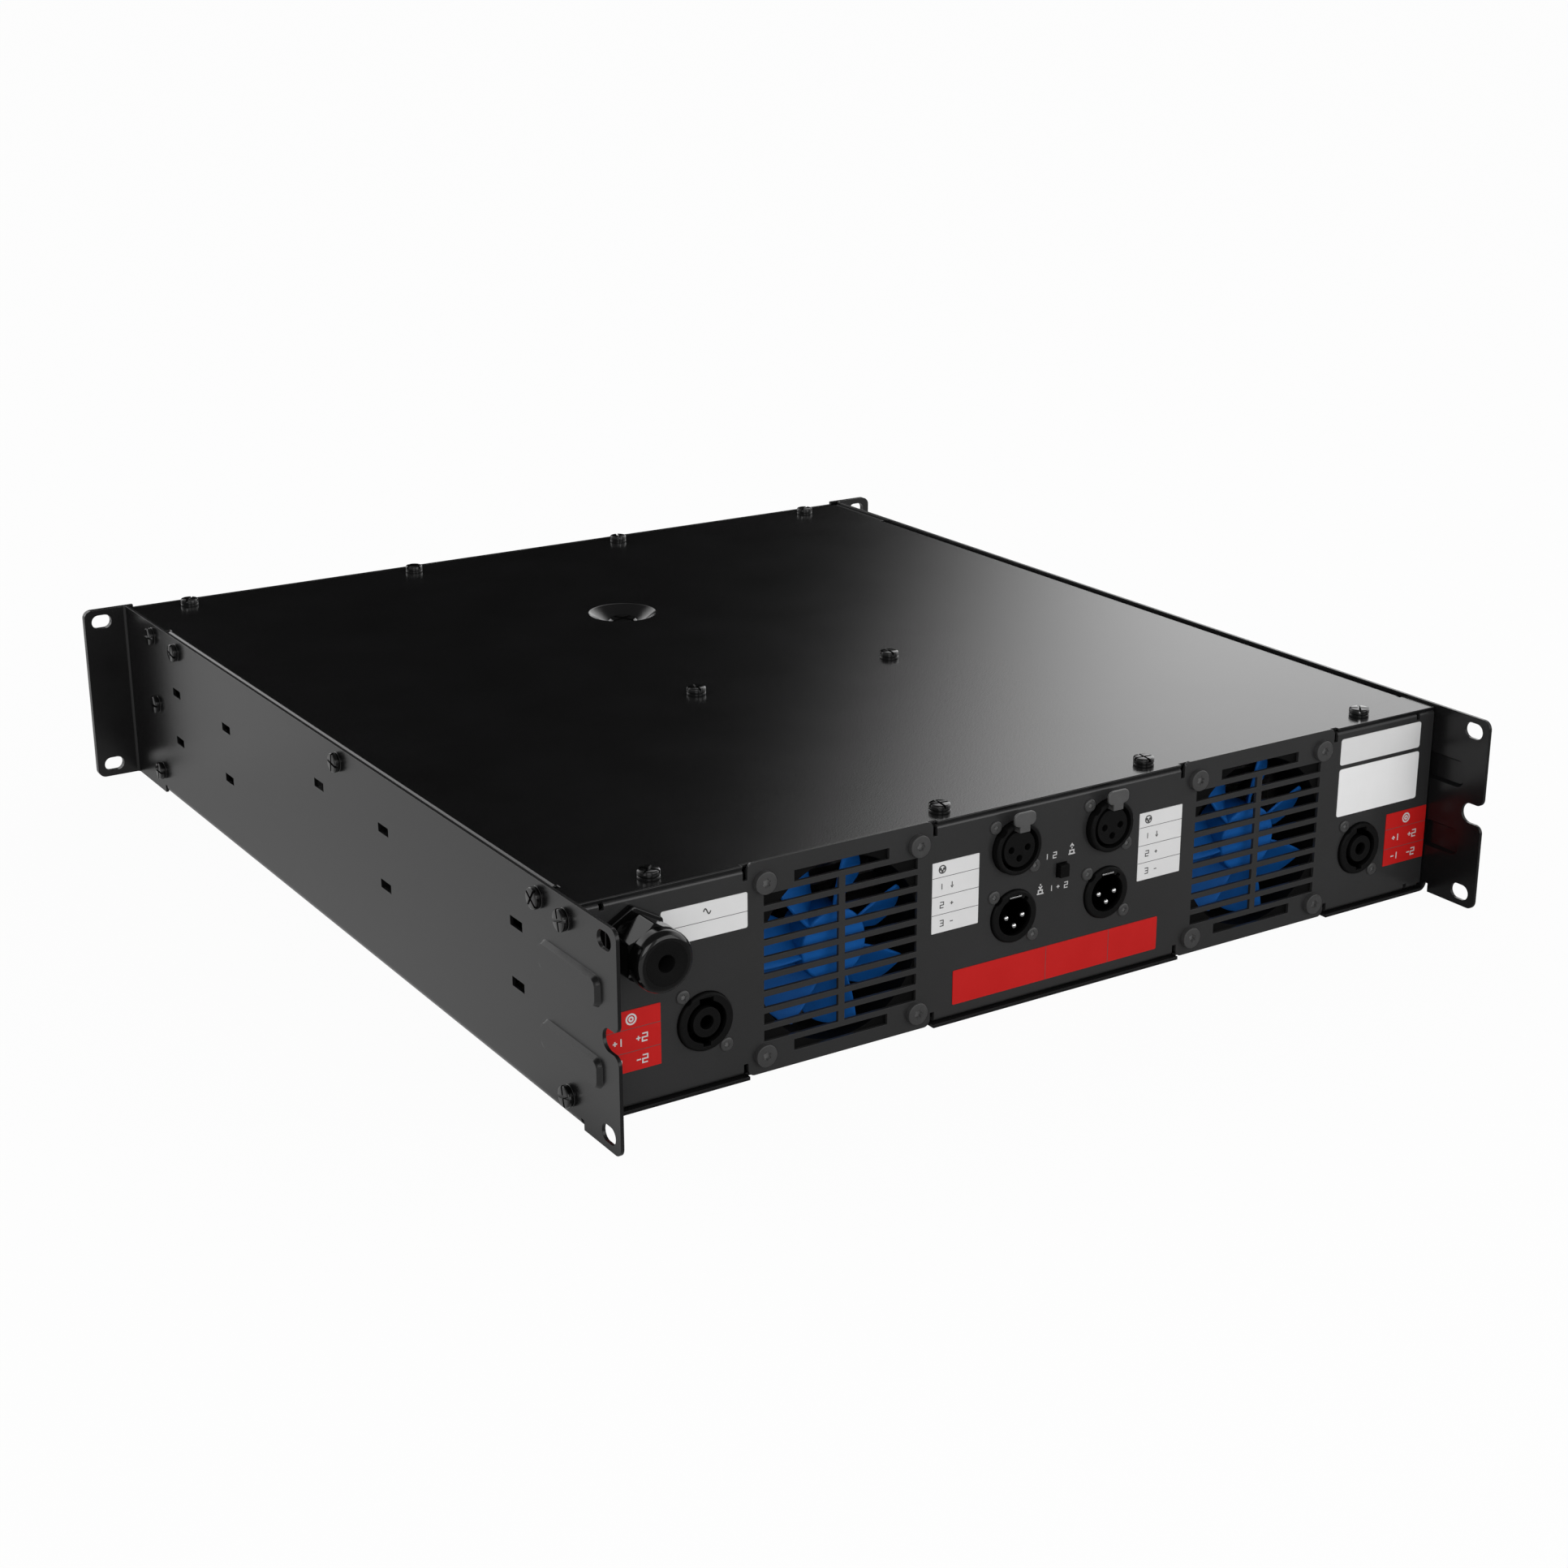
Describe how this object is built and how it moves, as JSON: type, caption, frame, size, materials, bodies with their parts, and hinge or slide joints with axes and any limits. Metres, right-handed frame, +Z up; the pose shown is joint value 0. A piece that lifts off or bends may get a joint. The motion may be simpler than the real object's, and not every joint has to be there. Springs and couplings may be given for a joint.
{
  "type": "power amplifier",
  "caption": "Two-unit rack power amplifier: folded black steel case with ears front and rear, finger-guarded blue fans, locking signal and speaker sockets and an empty cable gland.",
  "frame": {"origin": "on the floor under the middle of the overall box", "axes": "+X across the rack towards the side with the cable gland, +Y from the fascia to the connectors, +Z up"},
  "size_m": [0.4826, 0.532, 0.0909],
  "materials": {
    "powder_black": "black powder coat with a fine orange-peel grain",
    "black_plastic": "satin black moulding",
    "gland_black": "dark satin moulding",
    "fan_blue": "glossy blue moulding",
    "screw_black": "glossy black coated steel",
    "screw_grey": "dull zinc plate",
    "latch_grey": "satin zinc die-casting",
    "contact_silver": "bright silver plate",
    "contact_gold": "gold-coloured plate",
    "winding": "varnished winding",
    "seal_rubber": "dull rubber",
    "label_white": "printed film",
    "label_red": "printed film",
    "plate_silver": "satin film",
    "transformer_tape": "amber tape over copper and steel",
    "pad_rubber": "dull rubber",
    "plain_steel": "zinc plate",
    "sink_aluminium": "extruded, as drawn",
    "board_green": "solder mask",
    "can_sleeve": "shrink sleeve",
    "terminal_cream": "moulding",
    "knob_black": "satin moulding",
    "led_green": "tinted lens"
  },
  "bodies": {
    "chassis": {"chassis_tray": "powder_black", "top_cover": "powder_black", "rear_panel": "powder_black", "front_frame": "powder_black", "front_fascia": "powder_black", "fan_frame_left": "black_plastic", "fan_frame_right": "black_plastic", "fan_stators": "winding", "fan_screws": "screw_grey", "xlr_female_left": "black_plastic", "xlr_female_right": "black_plastic", "xlr_contacts": "contact_gold", "xlr_male_left": "black_plastic", "xlr_male_right": "black_plastic", "xlr_pins": "contact_silver", "connector_screws": "screw_grey", "speaker_socket_left": "black_plastic", "speaker_socket_right": "black_plastic", "speaker_contacts": "contact_gold", "mode_switch": "black_plastic", "gland_body": "gland_black", "gland_locknut": "gland_black", "gland_dome_nut": "gland_black", "gland_seal": "seal_rubber", "white_labels": "label_white", "red_labels": "label_red", "rating_plate": "plate_silver", "cover_screws": "screw_black", "side_screws": "screw_black", "fascia_screws": "screw_black", "transformer": "transformer_tape", "transformer_pads": "pad_rubber", "transformer_washer": "plain_steel", "transformer_bolt": "screw_black", "transformer_nut": "plain_steel", "heatsink_left": "sink_aluminium", "heatsink_right": "sink_aluminium", "output_transistors": "black_plastic", "amplifier_board_left": "board_green", "amplifier_board_right": "board_green", "supply_board": "board_green", "filter_capacitors": "can_sleeve", "bridge_rectifier": "black_plastic", "input_board": "board_green", "board_posts": "plain_steel", "mains_terminals": "terminal_cream", "level_pots": "plain_steel", "rocker_housing": "black_plastic", "indicator_leds": "led_green", "control_board": "board_green"},
    "fan_left": {"fan_impeller_left": "fan_blue"},
    "fan_right": {"fan_impeller_right": "fan_blue"},
    "button": {"mode_button": "knob_black"},
    "latch_left": {"xlr_latch_left": "latch_grey"},
    "latch_right": {"xlr_latch_right": "latch_grey"},
    "knob_left": {"level_knob_left": "knob_black", "level_shaft_left": "plain_steel"},
    "knob_right": {"level_knob_right": "knob_black", "level_shaft_right": "plain_steel"},
    "rocker": {"power_rocker": "knob_black"}
  },
  "joints": [
    {"name": "fan_left_spin", "type": "hinge", "parent": "chassis", "child": "fan_left", "pos_m": [0.1025, 0.218, 0.0439], "axis": [0, 1, 0], "continuous": true},
    {"name": "fan_right_spin", "type": "hinge", "parent": "chassis", "child": "fan_right", "pos_m": [-0.1134, 0.218, 0.0439], "axis": [0, 1, 0], "continuous": true},
    {"name": "mode_button_press", "type": "slide", "parent": "chassis", "child": "button", "axis": [0, -1, 0], "range_m": [0, 0.002], "stiffness_N_per_m": 400},
    {"name": "latch_left_press", "type": "hinge", "parent": "chassis", "child": "latch_left", "pos_m": [0.0187, 0.226, 0.0779], "axis": [1, 0, 0], "range_deg": [0, 7], "stiffness_Nm_per_rad": 0.05},
    {"name": "latch_right_press", "type": "hinge", "parent": "chassis", "child": "latch_right", "pos_m": [-0.0295, 0.226, 0.0779], "axis": [1, 0, 0], "range_deg": [0, 7], "stiffness_Nm_per_rad": 0.05},
    {"name": "level_left_turn", "type": "hinge", "parent": "chassis", "child": "knob_left", "pos_m": [-0.032, -0.258, 0.04445], "axis": [0, 1, 0], "range_deg": [-150, 150]},
    {"name": "level_right_turn", "type": "hinge", "parent": "chassis", "child": "knob_right", "pos_m": [0.032, -0.258, 0.04445], "axis": [0, 1, 0], "range_deg": [-150, 150]},
    {"name": "power_rocker_tip", "type": "hinge", "parent": "chassis", "child": "rocker", "pos_m": [0.19, -0.249, 0.04445], "axis": [1, 0, 0], "range_deg": [-20, 0]}
  ]
}
